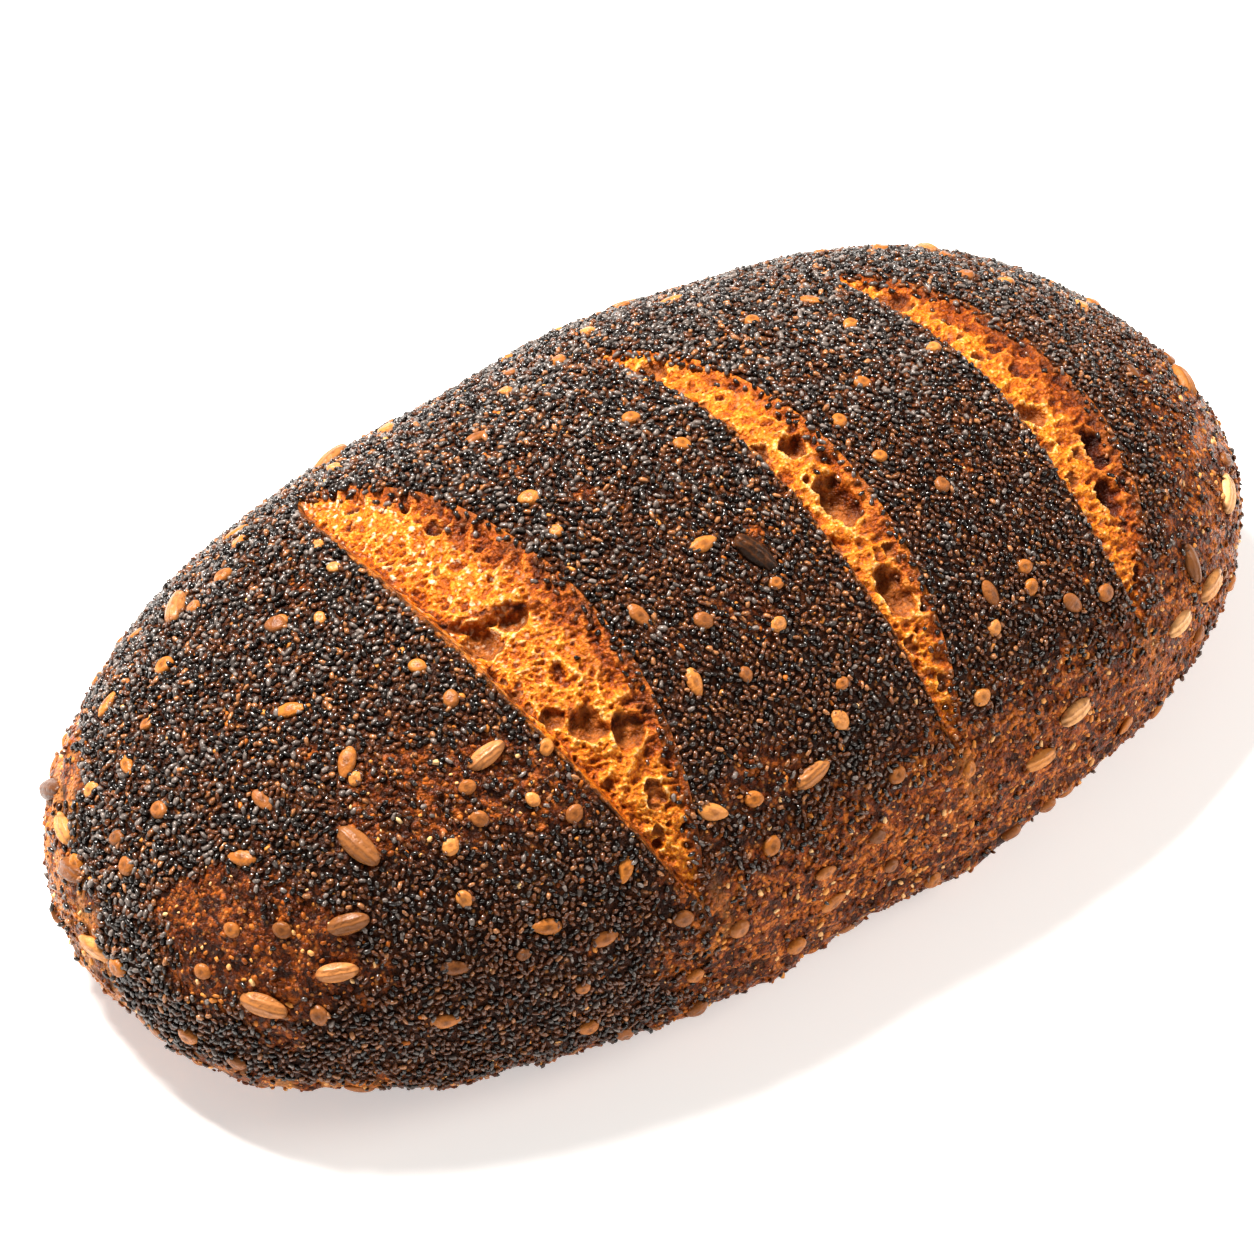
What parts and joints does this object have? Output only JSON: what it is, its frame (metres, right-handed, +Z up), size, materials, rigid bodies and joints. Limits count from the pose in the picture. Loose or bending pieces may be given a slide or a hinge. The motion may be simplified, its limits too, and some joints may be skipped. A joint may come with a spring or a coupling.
{
  "type": "rye bread loaf",
  "caption": "Oval rye loaf with open scores across its crown and a crust covered in small dark seeds, lying on its flat foot.",
  "frame": {"origin": "middle of the flat foot, on the table", "axes": "+X along the loaf to its right end, +Z up, and the camera side is -Y"},
  "size_m": [0.2711, 0.1502, 0.086],
  "materials": {
    "crust": "baked rye crust, dark brown, with a dull gloss",
    "crumb": "open toasted crumb, golden orange",
    "poppy_seed": "small blue-black seeds with a soft gloss",
    "gold_seed": "toasted pale seeds, golden brown",
    "kernel": "toasted sunflower kernels and oats, satin"
  },
  "bodies": {
    "root": {"loaf": "crust"}
  },
  "joints": []
}
